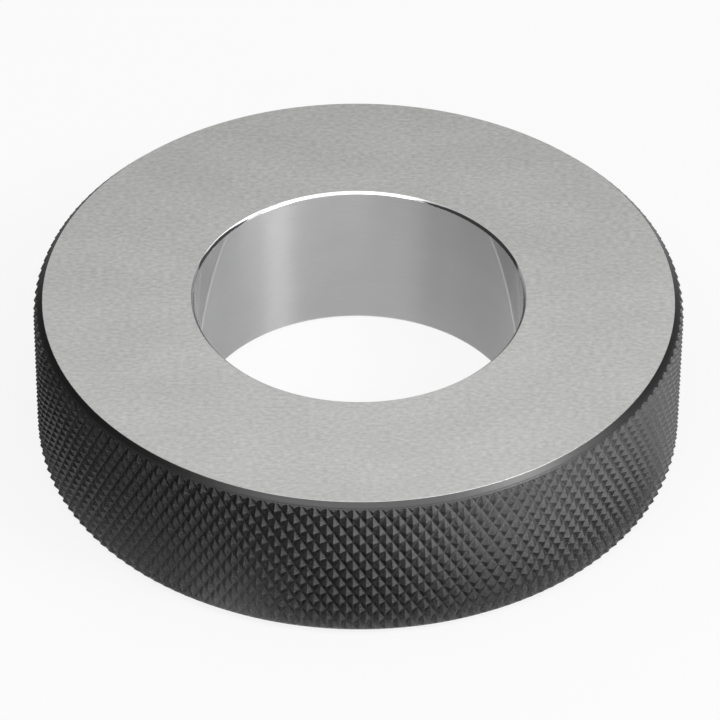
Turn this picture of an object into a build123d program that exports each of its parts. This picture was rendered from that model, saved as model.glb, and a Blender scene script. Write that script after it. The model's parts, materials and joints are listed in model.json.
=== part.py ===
from build123d import *
from math import cos, floor, hypot, pi, radians, sin, tan
import os

# Setting ring gauge: one piece of hardened steel with a honed bore, two ground faces
# and a diamond knurl on the outside for the fingers to hold.
# Millimetres. The origin is the centre of the lower face, and +Z is the axis of the bore.

# The turned ring
BORE_DIAMETER = 36.0
OUTER_DIAMETER = 71.0  # over the points of the knurl
WIDTH = 18.0
EDGE_CHAMFER = 1.05  # at 45 degrees, on both outer edges
BORE_CHAMFER = 0.3  # at 45 degrees, at both ends of the bore

# The diamond knurl, with raised points
KNURL_PITCH = 1.2  # from groove to groove, square to the grooves
KNURL_ANGLE = 30.0  # of the grooves to the axis, one set to each hand
KNURL_DEPTH = 0.45  # from the points down to the grooves
KNURL_LIFT = 0.29  # from the middle of the width up to the nearest groove crossing

bore_radius = BORE_DIAMETER / 2
point_radius = OUTER_DIAMETER / 2
groove_radius = point_radius - KNURL_DEPTH
face_radius = point_radius - EDGE_CHAMFER

# A whole number of diamonds goes round the ring, and their length follows from the angle.
mean_circumference = pi * (OUTER_DIAMETER - KNURL_DEPTH)
diamonds_around = round(mean_circumference * cos(radians(KNURL_ANGLE)) / KNURL_PITCH)
half_width = mean_circumference / diamonds_around / 2
half_length = half_width / tan(radians(KNURL_ANGLE))

# The pattern runs from just below the lower face to just above the upper one.
lowest_level = -floor((WIDTH / 2 + KNURL_LIFT) / half_length) - 1
highest_level = floor((WIDTH / 2 - KNURL_LIFT) / half_length) + 1

# The height of each face, and the way that it looks
ends = ((0, -1), (WIDTH, 1))


def on_column(column, radius, height):
    """A place on one of the upright columns, half a diamond apart, that carry the points."""
    angle = pi * column / diamonds_around
    return Vector(radius * sin(angle), -radius * cos(angle), height)


def knurl_corner(column, level):
    """Points and groove crossings take turns, both up a column and around the ring."""
    radius = point_radius if (column + level) % 2 else groove_radius
    return on_column(column, radius, WIDTH / 2 + KNURL_LIFT + level * half_length)


def flat_face(*corners):
    return Face(Wire.make_polygon(corners))


def flanks_between(column, level):
    """The two flanks that meet in the groove between a pair of crossings."""
    left_low = knurl_corner(column, level)
    right_low = knurl_corner(column + 1, level)
    left_high = knurl_corner(column, level + 1)
    right_high = knurl_corner(column + 1, level + 1)
    if (column + level) % 2:
        groove = (right_low, left_high)
        points = (left_low, right_high)
    else:
        groove = (left_low, right_high)
        points = (right_low, left_high)
    return [flat_face(*groove, point) for point in points]


def knurled_slice(column):
    """A slice of bar from the axis out to the knurl, between one column and the next."""
    flanks = []
    for level in range(lowest_level, highest_level):
        flanks += flanks_between(column, level)
    levels = range(lowest_level, highest_level + 1)
    left = [knurl_corner(column, level) for level in levels]
    right = [knurl_corner(column + 1, level) for level in levels]
    bottom = Vector(0, 0, left[0].Z)
    top = Vector(0, 0, left[-1].Z)
    sides = [flat_face(bottom, *left, top), flat_face(bottom, *right, top)]
    caps = [flat_face(bottom, left[0], right[0]), flat_face(top, left[-1], right[-1])]
    return Solid(Shell(flanks + sides + caps))


def chamfer_plane(column, height, outward):
    """The outer chamfer is flat across each slice, at 45 degrees to the face."""
    tip = Vector(0, 0, height + outward * face_radius)
    left = on_column(column, face_radius, height)
    right = on_column(column + 1, face_radius, height)
    return Plane(origin=tip, z_dir=(left - tip).cross(right - tip) * outward)


def turned_slice(column):
    """A slice with its faces and its outer chamfers cut."""
    piece = knurled_slice(column)
    for height, outward in ends:
        face_plane = Plane(origin=(0, 0, height), z_dir=(0, 0, outward))
        for cut in (chamfer_plane(column, height, outward), face_plane):
            piece = piece.split(cut, keep=Keep.BOTTOM)
    return piece


def is_outside(shape):
    """Whether a slice's face or edge lies on the outside. The inner ones reach the axis."""
    middle = shape.center()
    nearest_of_the_outer = 0.9 * face_radius
    return hypot(middle.X, middle.Y) > nearest_of_the_outer


def knurled_bar():
    """The ring before it is bored: the outside of one pitch, repeated all the way round."""
    slices = [turned_slice(0), turned_slice(1)]
    places = list(PolarLocations(0, diamonds_around))
    walls = [wall for piece in slices for wall in piece.faces() if is_outside(wall)]
    skin = [place * wall for place in places for wall in walls]
    for lowest_or_highest in (0, -1):
        rim = []
        for piece in slices:
            edges = piece.edges().group_by(Axis.Z)[lowest_or_highest]
            rim += edges.filter_by(is_outside)
        skin.append(Face(Wire([place * edge for place in places for edge in rim])))
    return Solid(Shell(skin))


def bore_cutter():
    """The bore with a chamfer at each end, which runs on out past the face."""
    run_out = BORE_CHAMFER
    mouth_radius = bore_radius + BORE_CHAMFER + run_out
    section = Polyline(
        (0, -run_out),
        (mouth_radius, -run_out),
        (bore_radius, BORE_CHAMFER),
        (bore_radius, WIDTH - BORE_CHAMFER),
        (mouth_radius, WIDTH + run_out),
        (0, WIDTH + run_out),
        close=True,
    )
    return revolve(Plane.XZ * make_face(section), axis=Axis.Z)


setting_ring = knurled_bar() - bore_cutter()

os.makedirs("parts", exist_ok=True)
export_step(setting_ring, "parts/setting_ring.step", write_pcurves=False)
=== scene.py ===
import json
from math import ceil, cos, pi, radians, sin, tan
from typing import NamedTuple

import bmesh
import bpy
import numpy as np
from bpy.props import FloatProperty, FloatVectorProperty, IntProperty, PointerProperty
from mathutils import Matrix, Vector


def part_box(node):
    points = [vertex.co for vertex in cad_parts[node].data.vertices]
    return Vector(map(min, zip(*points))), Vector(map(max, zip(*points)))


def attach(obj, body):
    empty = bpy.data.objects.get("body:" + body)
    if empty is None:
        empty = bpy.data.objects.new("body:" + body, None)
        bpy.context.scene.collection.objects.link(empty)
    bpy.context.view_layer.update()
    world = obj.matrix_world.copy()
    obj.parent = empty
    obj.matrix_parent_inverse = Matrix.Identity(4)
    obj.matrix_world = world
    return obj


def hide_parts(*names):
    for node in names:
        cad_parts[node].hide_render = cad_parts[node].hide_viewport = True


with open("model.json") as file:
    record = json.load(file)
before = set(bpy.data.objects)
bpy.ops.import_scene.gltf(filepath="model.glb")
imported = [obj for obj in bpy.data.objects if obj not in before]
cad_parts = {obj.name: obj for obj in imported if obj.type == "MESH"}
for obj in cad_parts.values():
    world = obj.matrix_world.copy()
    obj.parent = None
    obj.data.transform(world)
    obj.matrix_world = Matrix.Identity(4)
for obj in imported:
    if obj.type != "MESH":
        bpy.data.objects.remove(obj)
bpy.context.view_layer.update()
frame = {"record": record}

bl_info = {
    "name": "Setting ring gauge",
    "version": (1, 0, 0),
    "blender": (4, 5, 0),
    "location": "3D View > Sidebar > Setting ring",
    "description": "Builds a knurled setting ring with its finishes, and a small studio around it",
    "category": "Mesh",
}

# Lengths are in metres. The ring's axis is Z, and the photograph is taken from the side of -Y.
MM = 0.001
NEAR = 1e-6  # how near two places on the ring count as one

# Sizes that come from the frame
ring_low, ring_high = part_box("setting_ring")
bore_mount = next(m for m in frame["record"]["mounts"] if m["name"] == "bore")
OUTER_RADIUS = ring_high.x
WIDTH = ring_high.z - ring_low.z
BORE_RADIUS = bore_mount["dims"]["r_mm"] * MM
BORE_CHAMFER = (WIDTH - bore_mount["dims"]["length_mm"] * MM) / 2

# The ring's material slots, in the order of FINISHES
GROUND, HONED, POLISHED, KNURL, EDGE = range(5)


class RingSizes(bpy.types.PropertyGroup):
    """Sizes of the ring and its knurl."""

    outer_radius: FloatProperty(
        name="Outer radius",
        description="From the axis to the points of the knurl",
        default=OUTER_RADIUS,
        unit="LENGTH",
    )
    width: FloatProperty(
        name="Width",
        description="From the lower face to the upper face",
        default=WIDTH,
        unit="LENGTH",
    )
    bore_radius: FloatProperty(
        name="Bore radius",
        description="From the axis to the wall of the bore",
        default=BORE_RADIUS,
        unit="LENGTH",
    )
    bore_chamfer: FloatProperty(
        name="Bore chamfer",
        description="Width of the 45 degree chamfer at each end of the bore",
        default=BORE_CHAMFER,
        unit="LENGTH",
    )
    edge_chamfer: FloatProperty(
        name="Edge chamfer",
        description="Width of the 45 degree chamfer on each outer edge",
        default=1.05 * MM,
        unit="LENGTH",
    )
    edge_round: FloatProperty(
        name="Edge round",
        description="How far the small round on each turned edge reaches",
        default=0.05 * MM,
        unit="LENGTH",
    )
    diamonds_around: IntProperty(
        name="Diamonds around",
        description="Number of diamonds in one row of the knurl",
        default=160,
    )
    knurl_angle: FloatProperty(
        name="Knurl angle",
        description="Angle of the grooves to the axis",
        default=radians(30),
        subtype="ANGLE",
    )
    knurl_depth: FloatProperty(
        name="Knurl depth",
        description="From the points down to the grooves",
        default=0.45 * MM,
        unit="LENGTH",
    )
    knurl_lift: FloatProperty(
        name="Knurl lift",
        description="From the middle of the width up to the nearest groove crossing",
        default=0.29 * MM,
        unit="LENGTH",
    )
    groove_round: FloatProperty(
        name="Groove round",
        description="Half the width of a groove's round bottom, as a share of the pitch",
        default=0.08,
    )


class RingColours(bpy.types.PropertyGroup):
    """Colours of the finishes and the floor."""

    steel: FloatVectorProperty(
        name="Ground steel",
        description="Colour of the two ground faces",
        default=(0.458, 0.458, 0.449),
        subtype="COLOR",
    )
    bore: FloatVectorProperty(
        name="Honed steel",
        description="Colour of the wall of the bore",
        default=(0.57, 0.57, 0.575),
        subtype="COLOR",
    )
    black: FloatVectorProperty(
        name="Black finish",
        description="Colour of the blackened knurl and edges",
        default=(0.0045, 0.0045, 0.0047),
        subtype="COLOR",
    )
    floor: FloatVectorProperty(
        name="Floor",
        description="Colour of the floor",
        default=(0.92, 0.92, 0.92),
        subtype="COLOR",
    )


class StudioSettings(bpy.types.PropertyGroup):
    """Where the camera stands and how bright the lamps are."""

    camera_distance: FloatProperty(
        name="Camera distance",
        description="Along the floor from the ring's axis to the camera",
        default=0.4745,
        unit="LENGTH",
    )
    camera_height: FloatProperty(
        name="Camera height",
        description="From the floor to the camera",
        default=0.40156,
        unit="LENGTH",
    )
    camera_side_step: FloatProperty(
        name="Camera side step",
        description="How far the camera stands to the right of the line to the ring's axis",
        default=0.0002,
        unit="LENGTH",
    )
    camera_turn: FloatProperty(
        name="Camera turn",
        description="How far round the ring the camera stands, from straight in front",
        default=radians(-0.497),
        subtype="ANGLE",
    )
    camera_tilt: FloatProperty(
        name="Camera tilt",
        description="How far the camera looks down from level",
        default=radians(39.625),
        subtype="ANGLE",
    )
    camera_roll: FloatProperty(
        name="Camera roll",
        description="Turn of the camera about its own line of sight",
        default=radians(0.391),
        subtype="ANGLE",
    )
    camera_lens: FloatProperty(
        name="Lens",
        description="Focal length on a sensor 36 mm wide",
        default=279.87,
        unit="CAMERA",
    )
    overhead: FloatProperty(
        name="Overhead softbox",
        description="Brightness of the large softbox, where 1 is white",
        default=1.7,
    )
    key: FloatProperty(
        name="Key light",
        description="Brightness of the smaller lamp on the right, where 1 is white",
        default=9.0,
    )
    ambient: FloatProperty(
        name="Ambient light",
        description="Brightness of the room for soft surfaces, where 1 is white",
        default=0.45,
    )


# The shape of the ring


def mouth_radius(sizes):
    """Where the chamfer of the bore meets a face."""
    return sizes.bore_radius + sizes.bore_chamfer


def border_radius(sizes):
    """Where the narrow border that goes with the outer wall ends on a face."""
    return sizes.outer_radius - 1.5 * sizes.edge_chamfer


def groove_profile(place, groove_round):
    """Height across one set of grooves, from 0 at a sharp groove to 1 at the points."""
    to_groove = abs(place - round(place))
    if to_groove < groove_round:
        return to_groove * to_groove / groove_round + groove_round
    return 2 * to_groove


def knurl_strip(sizes, reach):
    """One pitch of the knurl laid flat, with X in diamonds around the ring and Y along it.

    It goes at least as many diamonds up and down from the middle as reach says. Z is the height
    of the surface, from 0 at sharp grooves to 1 at the points. The grid starts out square to
    the two sets of grooves, and is then turned to the ring.
    """
    steps = 4
    even = np.linspace(0, 1, steps + 1)
    uneven = (0, sizes.groove_round, 0.5, 1 - sizes.groove_round, 1)
    cells = 2 * ceil(reach + 0.5)
    bm = bmesh.new()
    bmesh.ops.create_grid(
        bm, x_segments=cells * steps, y_segments=cells * steps, size=cells / 2
    )
    for vert in bm.verts:
        places = []
        for value in (vert.co.x, vert.co.y):
            step = round(value * steps)
            whole = step // steps
            places.append(whole + float(np.interp(step / steps - whole, even, uneven)))
        across, along = places
        height = min(groove_profile(place, sizes.groove_round) for place in places)
        vert.co = ((across - along) / 2, (across + along) / 2, height)

    # The ridges from point to point run along X and Y, and need edges of their own.
    def cut(place, normal, clear=False):
        bmesh.ops.bisect_plane(
            bm,
            geom=bm.verts[:] + bm.edges[:] + bm.faces[:],
            dist=1e-5,
            plane_co=place,
            plane_no=normal,
            clear_outer=clear,
        )

    cut((0.5, 0, 0), (1, 0, 0), clear=True)
    cut((-0.5, 0, 0), (-1, 0, 0), clear=True)
    cut((0, 0, 0), (1, 0, 0))
    for half in range(-cells, cells + 1):
        cut((0, half / 2, 0), (0, 1, 0))
    straight = 1e-4
    for edge in bm.edges:
        run = edge.verts[1].co - edge.verts[0].co
        if min(abs(run.x), abs(run.y)) < straight:
            edge.smooth = False
    return bm


def wrap_around(bm, sizes, diamond_length):
    """Rolls the flat strip onto the ring, in front of the axis."""
    for vert in bm.verts:
        angle = vert.co.x * 2 * pi / sizes.diamonds_around
        share = (1 - vert.co.z) / (1 - sizes.groove_round)
        radius = sizes.outer_radius - sizes.knurl_depth * share
        height = sizes.width / 2 + sizes.knurl_lift + vert.co.y * diamond_length
        vert.co = (radius * sin(angle), -radius * cos(angle), height)


def carry_on(bm, rim, radius, height, finish):
    """Extrudes a rim to another radius and height, and returns the new rim."""
    made = bmesh.ops.extrude_edge_only(bm, edges=rim)["geom"]
    verts = {item for item in made if isinstance(item, bmesh.types.BMVert)}
    for vert in verts:
        outward = Vector((vert.co.x, vert.co.y, 0)).normalized()
        vert.co = outward * radius + Vector((0, 0, height))
    for item in made:
        if isinstance(item, bmesh.types.BMFace):
            item.material_index = finish
    edges = {edge for vert in verts for edge in vert.link_edges}
    return [edge for edge in edges if set(edge.verts) <= verts]


def round_edges(bm, edges, reach):
    bmesh.ops.bevel(
        bm,
        geom=edges,
        offset=reach,
        offset_type="OFFSET",
        segments=3,
        profile=0.5,
        affect="EDGES",
        clamp_overlap=True,
        material=-1,
    )


def on_rim(edge, radius, height):
    """Whether both ends of an edge lie on this rim of the ring."""
    return all(
        abs(vert.co.xy.length - radius) < NEAR and abs(vert.co.z - height) < NEAR
        for vert in edge.verts
    )


def outer_wall(sizes):
    """The knurl, both outer chamfers and a narrow border of each face."""
    half_turn = pi / sizes.diamonds_around
    mean_radius = sizes.outer_radius - sizes.knurl_depth / 2
    diamond_length = 2 * mean_radius * half_turn / tan(sizes.knurl_angle)
    reach = (sizes.width / 2 + abs(sizes.knurl_lift)) / diamond_length
    bm = knurl_strip(sizes, reach)
    for face in bm.faces:
        face.material_index = KNURL
    wrap_around(bm, sizes, diamond_length)
    face_radius = sizes.outer_radius - sizes.edge_chamfer
    for height, outward in ((0, -1), (sizes.width, 1)):
        cut = bmesh.ops.bisect_plane(
            bm,
            geom=bm.verts[:] + bm.edges[:] + bm.faces[:],
            dist=1e-8,
            plane_co=(0, -face_radius, height),
            plane_no=(0, -1, outward),
            clear_outer=True,
        )
        rim = [item for item in cut["geom_cut"] if isinstance(item, bmesh.types.BMEdge)]
        for edge in rim:
            edge.smooth = False
        corner = carry_on(bm, rim, face_radius, height, EDGE)
        carry_on(bm, corner, border_radius(sizes), height, GROUND)
        round_edges(bm, corner, sizes.edge_round)
    bmesh.ops.spin(
        bm,
        geom=bm.verts[:] + bm.edges[:] + bm.faces[:],
        cent=(0, 0, 0),
        axis=(0, 0, 1),
        angle=2 * pi * (1 - 1 / sizes.diamonds_around),
        steps=sizes.diamonds_around - 1,
        use_duplicate=True,
    )
    bmesh.ops.remove_doubles(bm, verts=bm.verts[:], dist=NEAR)
    return bm


def add_bore(bm, sizes):
    """The wall of the bore and its two chamfers."""
    places = (
        (mouth_radius(sizes), 0),
        (sizes.bore_radius, sizes.bore_chamfer),
        (sizes.bore_radius, sizes.width - sizes.bore_chamfer),
        (mouth_radius(sizes), sizes.width),
    )
    verts = [bm.verts.new((0, -radius, height)) for radius, height in places]
    edges = [bm.edges.new(pair) for pair in zip(verts, verts[1:])]
    there_before = set(bm.faces)
    bmesh.ops.spin(
        bm,
        geom=verts + edges,
        cent=(0, 0, 0),
        axis=(0, 0, 1),
        angle=2 * pi,
        steps=2 * sizes.diamonds_around,
        use_merge=True,
    )
    for face in bm.faces:
        if face not in there_before:
            from_middle = abs(face.calc_center_median().z - sizes.width / 2)
            on_wall = from_middle < sizes.width / 2 - sizes.bore_chamfer
            face.material_index = HONED if on_wall else POLISHED


def close_faces(bm, sizes):
    """Joins each border to its end of the bore, and rounds the edges of the bore."""
    for height in (0, sizes.width):
        loops = [
            edge
            for edge in bm.edges
            if on_rim(edge, mouth_radius(sizes), height)
            or on_rim(edge, border_radius(sizes), height)
        ]
        made = bmesh.ops.bridge_loops(bm, edges=loops)
        for face in made["faces"]:
            face.material_index = GROUND
    corners = (
        (mouth_radius(sizes), 0),
        (mouth_radius(sizes), sizes.width),
        (sizes.bore_radius, sizes.bore_chamfer),
        (sizes.bore_radius, sizes.width - sizes.bore_chamfer),
    )
    for radius, height in corners:
        edges = [edge for edge in bm.edges if on_rim(edge, radius, height)]
        round_edges(bm, edges, sizes.edge_round)


def ring_mesh(sizes):
    bm = outer_wall(sizes)
    add_bore(bm, sizes)
    close_faces(bm, sizes)
    bmesh.ops.recalc_face_normals(bm, faces=bm.faces[:])
    for face in bm.faces:
        face.smooth = True
    mesh = bpy.data.meshes.new("setting_ring_body")
    bm.to_mesh(mesh)
    bm.free()
    return mesh


# The finishes


class Nodes:
    """Puts together the nodes of one material or of the world."""

    def __init__(self, owner):
        owner.use_nodes = True
        self.tree = owner.node_tree

    def add(self, kind, **settings):
        made = self.tree.nodes.new(kind)
        for name, value in settings.items():
            setattr(made, name, value)
        return made

    def feed(self, socket, value):
        """Links another node's output to a socket, or sets the socket's own value."""
        if isinstance(value, bpy.types.NodeSocket):
            self.tree.links.new(value, socket)
        else:
            socket.default_value = value

    def surface(self, **inputs):
        """Feeds the inputs of the surface shader, named with underscores for spaces."""
        shader = self.tree.nodes["Principled BSDF"]
        for name, value in inputs.items():
            self.feed(shader.inputs[name.replace("_", " ")], value)

    def other_surface(self, shader):
        """Puts another shader in the place of the surface shader."""
        self.tree.nodes.remove(self.tree.nodes["Principled BSDF"])
        self.feed(self.tree.nodes["Material Output"].inputs["Surface"], shader)

    def mixed(self, share, first, second):
        """A mix of two shaders, with so large a share of the second."""
        made = self.add("ShaderNodeMixShader")
        for socket, value in zip(made.inputs, (share, first, second)):
            self.feed(socket, value)
        return made.outputs[0]

    def glow(self, strength):
        """A white glow, where a strength of 1 is white."""
        made = self.add("ShaderNodeEmission")
        self.feed(made.inputs["Strength"], strength)
        return made.outputs[0]

    def math(self, operation, first, second=0.0):
        made = self.add("ShaderNodeMath", operation=operation)
        self.feed(made.inputs[0], first)
        self.feed(made.inputs[1], second)
        return made.outputs[0]

    def coordinates(self):
        return self.add("ShaderNodeTexCoord").outputs["Object"]

    def split_coordinates(self):
        """The coordinates along X, Y and Z, each by itself."""
        parts = self.add("ShaderNodeSeparateXYZ")
        self.feed(parts.inputs[0], self.coordinates())
        return parts.outputs

    def per_mm(self, *counts):
        """Coordinates that count so many units in each millimetre along X, Y and Z."""
        made = self.add("ShaderNodeVectorMath", operation="MULTIPLY")
        self.feed(made.inputs[0], self.coordinates())
        made.inputs[1].default_value = [count / MM for count in counts]
        return made.outputs["Vector"]

    def radius(self):
        """How far from the axis, in millimetres."""
        x, y, _ = self.split_coordinates()
        squares = self.math("ADD", self.math("MULTIPLY", x, x), self.math("MULTIPLY", y, y))
        return self.math("MULTIPLY", self.math("SQRT", squares), 1 / MM)

    def around_ring(self, around, outward, along):
        """Coordinates wrapped round the axis.

        They count so many units in each radian around the axis, and so many in each millimetre
        outward from it and along it.
        """
        x, y, z = self.split_coordinates()
        joined = self.add("ShaderNodeCombineXYZ")
        self.feed(joined.inputs[0], self.math("MULTIPLY", self.math("ARCTAN2", x, y), around))
        self.feed(joined.inputs[1], self.math("MULTIPLY", self.radius(), outward))
        self.feed(joined.inputs[2], self.math("MULTIPLY", z, along / MM))
        return joined.outputs[0]

    def noise(self, vector, detail=2.0, roughness=0.5):
        made = self.add("ShaderNodeTexNoise")
        self.feed(made.inputs["Vector"], vector)
        made.inputs["Scale"].default_value = 1.0
        made.inputs["Detail"].default_value = detail
        made.inputs["Roughness"].default_value = roughness
        return made.outputs["Fac"]

    def beyond(self, radius):
        """1 further from the axis than a radius in millimetres, and else 0."""
        return self.math("GREATER_THAN", self.radius(), radius)

    def band(self, radius, half_width):
        """1 within a narrow band around a radius in millimetres, and else 0."""
        away = self.math("ABSOLUTE", self.math("SUBTRACT", self.radius(), radius))
        return self.math("LESS_THAN", away, half_width)

    def ranged(self, value, start, end, low, high, **settings):
        """A value from start to end brought to a range from low to high."""
        made = self.add("ShaderNodeMapRange", **settings)
        self.feed(made.inputs["Value"], value)
        made.inputs["From Min"].default_value = start
        made.inputs["From Max"].default_value = end
        made.inputs["To Min"].default_value = low
        made.inputs["To Max"].default_value = high
        return made.outputs["Result"]

    def spread(self, texture, low, high):
        """A texture's 0.25 to 0.75 brought to a range of its own."""
        return self.ranged(texture, 0.25, 0.75, low, high)

    def tint(self, colour, share):
        """A colour made lighter or darker by a share."""
        made = self.add("ShaderNodeVectorMath", operation="SCALE")
        made.inputs[0].default_value = colour
        self.feed(made.inputs["Scale"], share)
        return made.outputs["Vector"]

    def bump(self, height, distance):
        made = self.add("ShaderNodeBump")
        made.inputs["Strength"].default_value = 1.0
        made.inputs["Distance"].default_value = distance
        self.feed(made.inputs["Height"], height)
        return made.outputs["Normal"]

    def shows_background(self):
        """1 for camera, glossy and transmission rays, which show the background, and else 0."""
        path = self.add("ShaderNodeLightPath")
        shows = path.outputs["Is Camera Ray"]
        for name in ("Is Glossy Ray", "Is Transmission Ray"):
            shows = self.math("MAXIMUM", shows, path.outputs[name])
        return shows


def ground_face(colours):
    """Fine short streaks from the surface grinder, all along X."""
    material = bpy.data.materials.new("ground_face")
    nodes = Nodes(material)
    streaks = nodes.noise(nodes.per_mm(1.5, 3.0, 1.0), detail=3.0, roughness=0.6)
    clouds = nodes.noise(nodes.per_mm(0.10, 0.16, 0.1), detail=2.0)
    streak_shade = nodes.spread(streaks, 0.81, 1.19)
    cloud_shade = nodes.spread(clouds, 0.955, 1.045)
    nodes.surface(
        Base_Color=nodes.tint(colours.steel, nodes.math("MULTIPLY", streak_shade, cloud_shade)),
        Metallic=1.0,
        Roughness=nodes.spread(streaks, 0.30, 0.42),
        Normal=nodes.bump(streaks, 0.002 * MM),
    )
    return material


def honed_bore(colours):
    """Fine lines around the bore, which draw its reflections out along the axis."""
    material = bpy.data.materials.new("honed_bore")
    nodes = Nodes(material)
    lines = nodes.noise(nodes.around_ring(6.0, 0.0, 5.0), detail=3.0, roughness=0.7)
    clouds = nodes.noise(nodes.around_ring(3.0, 0.0, 0.25), detail=2.0)
    line_shade = nodes.spread(lines, 0.96, 1.04)
    cloud_shade = nodes.spread(clouds, 0.97, 1.03)
    along_axis = nodes.add("ShaderNodeCombineXYZ")
    along_axis.inputs["Z"].default_value = 1.0
    nodes.surface(
        Base_Color=nodes.tint(colours.bore, nodes.math("MULTIPLY", cloud_shade, line_shade)),
        Metallic=1.0,
        Roughness=nodes.spread(lines, 0.39, 0.45),
        Anisotropic=1.0,
        Tangent=along_axis.outputs[0],
        Coat_Weight=1.0,
        Coat_Roughness=0.04,
        Coat_IOR=2.7,
        Normal=nodes.bump(lines, 0.0005 * MM),
    )
    return material


def polished_bore_edge(colours):
    """The bright small chamfers at the ends of the bore."""
    material = bpy.data.materials.new("polished_bore_edge")
    nodes = Nodes(material)
    lines = nodes.noise(nodes.around_ring(2.0, 14.0, 14.0), detail=2.0)
    nodes.surface(
        Base_Color=nodes.tint(colours.bore, nodes.spread(lines, 0.98, 1.04)),
        Metallic=1.0,
        Roughness=nodes.spread(lines, 0.06, 0.12),
        Normal=nodes.bump(lines, 0.0003 * MM),
    )
    return material


def black_knurl(colours):
    """Blackened steel, mottled and slightly pitted."""
    material = bpy.data.materials.new("black_knurl")
    nodes = Nodes(material)
    mottle = nodes.noise(nodes.per_mm(2.2, 2.2, 2.2), detail=3.0, roughness=0.6)
    pits = nodes.noise(nodes.per_mm(5.5, 5.5, 5.5), detail=3.0, roughness=0.7)
    nodes.surface(
        Base_Color=nodes.tint(colours.black, nodes.spread(pits, 0.0, 2.0)),
        Metallic=0.0,
        IOR=2.1,
        Roughness=nodes.spread(mottle, 0.20, 0.42),
        Normal=nodes.bump(pits, 0.09 * MM),
    )
    return material


def black_edge(colours):
    """Blackened steel with turning lines around it, two of them deep, and rough tooth ends."""
    deep_line_radii = (34.99, 35.14)
    deep_line_half_width = 0.03
    teeth_start = 35.15
    material = bpy.data.materials.new("black_edge")
    nodes = Nodes(material)
    lines = nodes.noise(nodes.around_ring(0.6, 5.0, 5.0), detail=3.0, roughness=0.6)
    burrs = nodes.noise(nodes.per_mm(5.5, 5.5, 5.5), detail=3.0, roughness=0.7)
    bands = [nodes.band(radius, deep_line_half_width) for radius in deep_line_radii]
    deep_lines = nodes.math("MULTIPLY", nodes.math("ADD", *bands), 0.45)
    turned = nodes.math("MULTIPLY", lines, 0.04)
    tooth_ends = nodes.math("MULTIPLY", burrs, nodes.beyond(teeth_start))
    nodes.surface(
        Base_Color=nodes.tint(colours.black, nodes.spread(lines, 0.8, 1.2)),
        Metallic=0.0,
        IOR=1.7,
        Roughness=nodes.math("ADD", nodes.spread(lines, 0.28, 0.40), deep_lines),
        Normal=nodes.bump(nodes.math("ADD", turned, tooth_ends), 0.06 * MM),
    )
    return material


FINISHES = (ground_face, honed_bore, polished_bore_edge, black_knurl, black_edge)


# The studio


class CardPlan(NamedTuple):
    """A curved card around the ring that only glossy surfaces show.

    Its section is the radius and height of its corners, and it runs from the turn first to the
    turn last, in degrees, with 0 in front and +90 on the right. Its brightness goes from foot to
    top, where 1 is white, and fades out over so many degrees at both ends.
    """

    name: str
    section: tuple
    first: float
    last: float
    foot: float
    top: float
    fade: float = 1.0


def standing(radius, low, high):
    """The section of an upright card."""
    return ((radius, low), (radius, high))


def lying(inner, outer):
    """The section of a card that lies just above the floor."""
    above_floor = 0.1 * MM
    return ((inner, above_floor), (outer, above_floor))


CARD_PLANS = (
    # The dark left side, with a lit strip at the foot of the ring
    CardPlan("left_card", standing(0.15, 0.0, 0.20), -145, -50, 0.05, 0.08, fade=4),
    CardPlan("left_near_card", lying(0.0406, 0.095), -98, 12, 0.02, 0.02, fade=8),
    # Painted contact shadow of the ring on the floor, at its foot on the left
    CardPlan("left_foot_painted_shadow", lying(0.0356, 0.0369), -98, -22, 0.06, 0.06, fade=12),
    CardPlan("left_far_card", lying(0.095, 0.149), -98, 32, 0.02, 0.02, fade=8),
    CardPlan("left_back_card", lying(0.0362, 0.149), -165, -96, 0.35, 0.35, fade=5),
    CardPlan("left_foot_card", lying(0.0370, 0.0405), -97, -20, 0.60, 0.60, fade=10),
    # Painted light and shade on the floor at the front right and inside the bore
    # Painted contact shadow of the ring on the floor, at its foot in front and on the right
    CardPlan("right_foot_painted_shadow", lying(0.0362, 0.045), -28, 80, 0.015, 0.015, fade=20),
    # Painted pool of the key light on the floor at the front right
    CardPlan("floor_painted_light_pool", lying(0.047, 0.095), 12, 52, 2.2, 2.2, fade=10),
    # Painted shade on the floor inside the bore
    CardPlan("bore_floor_painted_shade", lying(0.0001, 0.0178), 0, 360, 0.50, 0.50),
    # The walls on the right, in front, above and behind
    CardPlan("right_card", standing(0.15, 0.0, 0.137), 84, 120, 0.06, 0.12),
    CardPlan("far_right_card", standing(0.15, 0.0, 0.09), 119, 162, 0.06, 0.12),
    CardPlan("front_card", standing(0.20, 0.0, 0.15), -60, -6, 0.20, 0.35, fade=6),
    CardPlan("key_card", standing(0.75, 0.15, 0.90), 10, 110, 1.2, 1.2, fade=35),
    CardPlan("high_card", standing(0.30, 0.20, 0.52), 72, 150, 4.5, 4.5, fade=25),
    CardPlan("back_card", standing(0.12, 0.0, 0.19), 130, 230, 0.20, 1.50, fade=3),
)


def add_softbox(name, turn, elevation, distance, across, along, brightness):
    """A rectangular lamp that faces the ring, and whose surface is white at a brightness of 1.

    It stands at a turn around the ring, in degrees as for the cards, and at so many degrees
    above the floor.
    """
    lamp = bpy.data.lights.new(name, "AREA")
    lamp.shape = "RECTANGLE"
    lamp.size = across
    lamp.size_y = along
    lamp.energy = brightness * pi * across * along
    level = distance * cos(radians(elevation))
    height = distance * sin(radians(elevation))
    place = Vector((level * sin(radians(turn)), -level * cos(radians(turn)), height))
    middle_of_ring = Vector((0, 0, WIDTH / 2))
    piece = bpy.data.objects.new(name, lamp)
    piece.location = place
    piece.rotation_mode = "QUATERNION"
    piece.rotation_quaternion = (middle_of_ring - place).to_track_quat("-Z", "Y")
    bpy.context.scene.collection.objects.link(piece)


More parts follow.
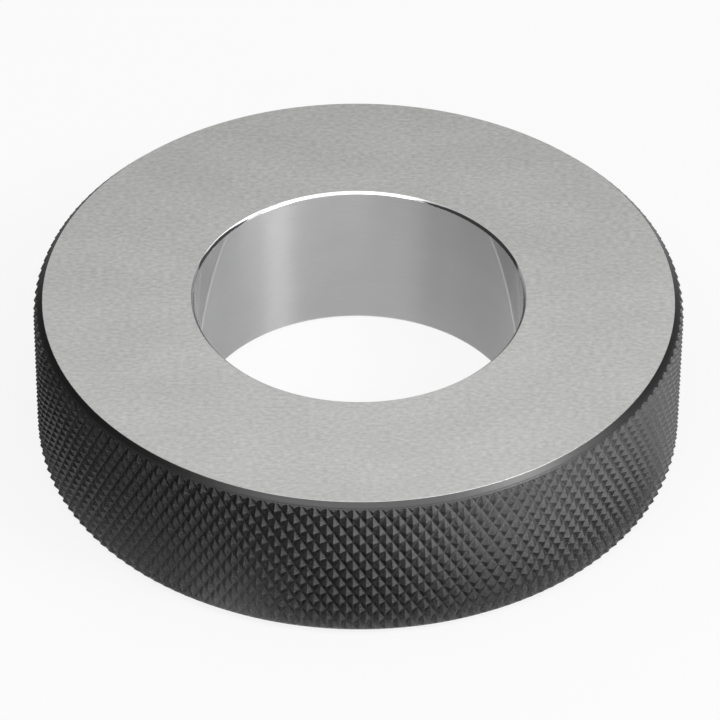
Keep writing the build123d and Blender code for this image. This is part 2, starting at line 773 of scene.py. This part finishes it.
def card_mesh(plan):
    """The card's section, carried round the axis."""
    degrees_per_flat = 5
    sweep = plan.last - plan.first
    bm = bmesh.new()
    start = Matrix.Rotation(radians(plan.first), 3, "Z")
    verts = [bm.verts.new(start @ Vector((0, -radius, height))) for radius, height in plan.section]
    edges = [bm.edges.new(pair) for pair in zip(verts, verts[1:])]
    bmesh.ops.spin(
        bm,
        geom=verts + edges,
        cent=(0, 0, 0),
        axis=(0, 0, 1),
        angle=radians(sweep),
        steps=ceil(sweep / degrees_per_flat),
    )
    mesh = bpy.data.meshes.new(plan.name)
    bm.to_mesh(mesh)
    bm.free()
    return mesh


def card_light(plan):
    """The card's glow, which is clear where it has faded out."""
    material = bpy.data.materials.new(plan.name)
    nodes = Nodes(material)
    x, y, z = nodes.split_coordinates()
    highest = max(height for _, height in plan.section)
    glow = nodes.glow(nodes.ranged(z, 0.0, highest, plan.foot, plan.top))

    # The angle from the card's middle, from the distances towards it and across
    middle = radians((plan.first + plan.last) / 2)
    half = radians((plan.last - plan.first) / 2)
    towards = nodes.math(
        "ADD", nodes.math("MULTIPLY", x, sin(middle)), nodes.math("MULTIPLY", y, -cos(middle))
    )
    across = nodes.math(
        "ADD", nodes.math("MULTIPLY", x, cos(middle)), nodes.math("MULTIPLY", y, sin(middle))
    )
    away = nodes.math("ABSOLUTE", nodes.math("ARCTAN2", across, towards))
    share = nodes.ranged(
        away, half - radians(plan.fade), half, 1.0, 0.0, interpolation_type="SMOOTHSTEP"
    )
    clear = nodes.add("ShaderNodeBsdfTransparent").outputs[0]
    nodes.other_surface(nodes.mixed(share, clear, glow))
    return material


def add_card(plan):
    mesh = card_mesh(plan)
    mesh.materials.append(card_light(plan))
    card = bpy.data.objects.new(plan.name, mesh)
    card.visible_camera = False
    card.visible_diffuse = False
    card.visible_shadow = False
    bpy.context.scene.collection.objects.link(card)


def add_floor(colours):
    """A wide pale floor, just below the ring, that keeps a soft shadow of it."""
    floor_radius = 3.0
    white_share = 0.85
    bm = bmesh.new()
    bmesh.ops.create_circle(bm, cap_ends=True, segments=96, radius=floor_radius)
    bmesh.ops.translate(bm, vec=(0, 0, -0.01 * MM), verts=bm.verts[:])
    mesh = bpy.data.meshes.new("floor")
    bm.to_mesh(mesh)
    bm.free()
    material = bpy.data.materials.new("floor")
    nodes = Nodes(material)
    matt = nodes.add("ShaderNodeBsdfDiffuse")
    matt.inputs["Color"].default_value = (*colours.floor, 1)
    share = nodes.math("MULTIPLY", nodes.shows_background(), white_share)
    nodes.other_surface(nodes.mixed(share, matt.outputs[0], nodes.glow(1.0)))
    mesh.materials.append(material)
    floor = bpy.data.objects.new("floor", mesh)
    bpy.context.scene.collection.objects.link(floor)


def set_world(studio):
    """A white background, and a plain level of light on soft surfaces."""
    world = bpy.data.worlds.new("studio")
    bpy.context.scene.world = world
    nodes = Nodes(world)
    background = nodes.tree.nodes["Background"]
    background.inputs["Color"].default_value = (1, 1, 1, 1)
    strength = nodes.ranged(nodes.shows_background(), 0.0, 1.0, studio.ambient, 1.0)
    nodes.feed(background.inputs["Strength"], strength)


def add_camera(studio):
    camera = bpy.data.cameras.new("camera")
    camera.sensor_width = 36.0
    camera.lens = studio.camera_lens
    piece = bpy.data.objects.new("camera", camera)
    turn = Matrix.Rotation(studio.camera_turn, 4, "Z")
    place = Matrix.Translation(
        (studio.camera_side_step, -studio.camera_distance, studio.camera_height)
    )
    tilt = Matrix.Rotation(pi / 2 - studio.camera_tilt, 4, "X")
    roll = Matrix.Rotation(studio.camera_roll, 4, "Z")
    piece.matrix_world = turn @ place @ tilt @ roll
    bpy.context.scene.collection.objects.link(piece)
    bpy.context.scene.camera = piece


class SETTINGRING_OT_build_ring(bpy.types.Operator):
    """Build the ring with its knurl and its finishes"""

    bl_idname = "settingring.build_ring"
    bl_label = "Build the ring"

    def execute(self, context):
        ring = bpy.data.objects.new("ring", ring_mesh(context.scene.ring_sizes))
        context.scene.collection.objects.link(ring)
        for finish in FINISHES:
            ring.data.materials.append(finish(context.scene.ring_colours))
        normals = ring.modifiers.new("even_normals", "WEIGHTED_NORMAL")
        normals.keep_sharp = True
        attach(ring, "root")
        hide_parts("setting_ring")
        return {"FINISHED"}


class SETTINGRING_OT_build_studio(bpy.types.Operator):
    """Build the floor, the lamps and the camera"""

    bl_idname = "settingring.build_studio"
    bl_label = "Build the studio"

    def execute(self, context):
        studio = context.scene.ring_studio
        context.scene.view_settings.view_transform = "Standard"
        add_floor(context.scene.ring_colours)
        set_world(studio)
        add_softbox(
            "overhead",
            turn=8,
            elevation=62,
            distance=0.6,
            across=0.75,
            along=0.36,
            brightness=studio.overhead,
        )
        add_softbox(
            "key",
            turn=60,
            elevation=40,
            distance=0.6,
            across=0.16,
            along=0.16,
            brightness=studio.key,
        )
        for plan in CARD_PLANS:
            add_card(plan)
        add_camera(studio)
        return {"FINISHED"}


class SETTINGRING_PT_panel(bpy.types.Panel):
    """Sizes, colours and lamps of the setting ring"""

    bl_idname = "SETTINGRING_PT_panel"
    bl_label = "Setting ring"
    bl_space_type = "VIEW_3D"
    bl_region_type = "UI"
    bl_category = "Setting ring"

    def draw(self, context):
        scene = context.scene
        for group in (scene.ring_sizes, scene.ring_colours, scene.ring_studio):
            box = self.layout.box()
            for name in group.__annotations__:
                box.prop(group, name)
        self.layout.operator(SETTINGRING_OT_build_ring.bl_idname)
        self.layout.operator(SETTINGRING_OT_build_studio.bl_idname)


classes = (
    RingSizes,
    RingColours,
    StudioSettings,
    SETTINGRING_OT_build_ring,
    SETTINGRING_OT_build_studio,
    SETTINGRING_PT_panel,
)


def register():
    for cls in classes:
        bpy.utils.register_class(cls)
    bpy.types.Scene.ring_sizes = PointerProperty(type=RingSizes)
    bpy.types.Scene.ring_colours = PointerProperty(type=RingColours)
    bpy.types.Scene.ring_studio = PointerProperty(type=StudioSettings)


def unregister():
    del bpy.types.Scene.ring_studio
    del bpy.types.Scene.ring_colours
    del bpy.types.Scene.ring_sizes
    for cls in reversed(classes):
        bpy.utils.unregister_class(cls)


def main():
    register()
    bpy.ops.settingring.build_ring()
    bpy.ops.settingring.build_studio()


if __name__ == "__main__":
    main()
